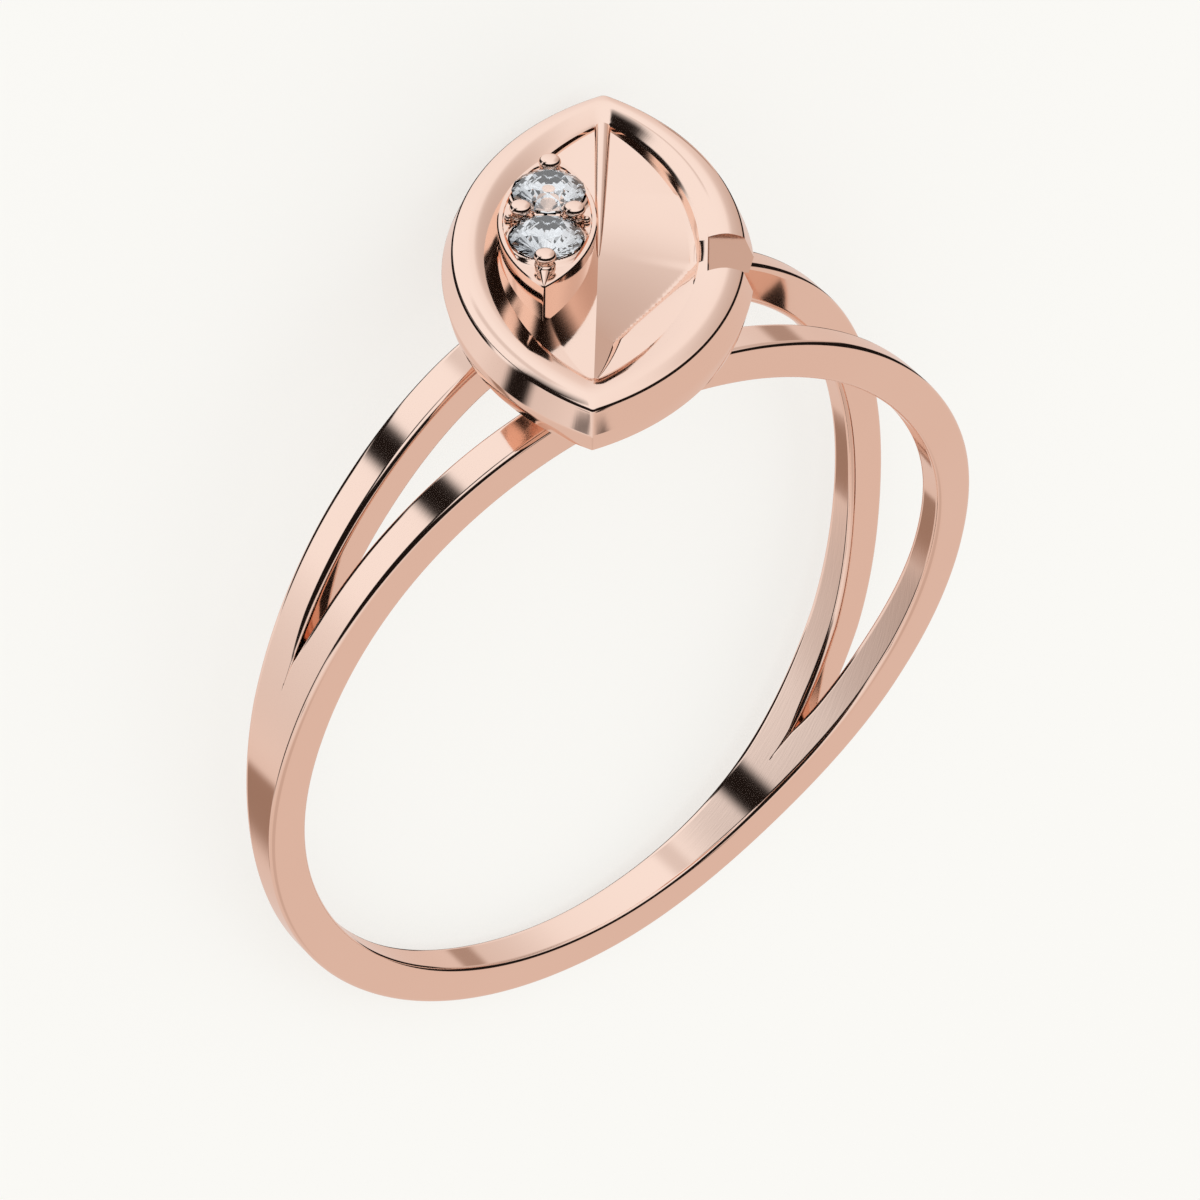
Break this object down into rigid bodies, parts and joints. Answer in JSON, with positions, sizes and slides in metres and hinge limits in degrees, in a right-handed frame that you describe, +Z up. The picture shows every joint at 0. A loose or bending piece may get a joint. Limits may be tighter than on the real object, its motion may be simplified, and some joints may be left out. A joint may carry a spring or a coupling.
{
  "type": "split shank ring",
  "caption": "Finger ring whose band parts into two strands under a pointed oval head: a domed, notched rim round a folded cup, with small round stones on a raised pointed plate.",
  "frame": {"origin": "on the table the ring lies on, below the middle of its outline", "axes": "+Z up from the table; +Y from the back of the band to the head; +X to the wearer's right along the band's width on the table"},
  "size_m": [0.0184, 0.0213, 0.0078],
  "materials": {
    "rose_gold": "polished rose gold",
    "stone": "clear, brilliant cut"
  },
  "bodies": {
    "root": {"ring_body": "rose_gold", "stone_front": "stone", "stone_rear": "stone"}
  },
  "joints": []
}
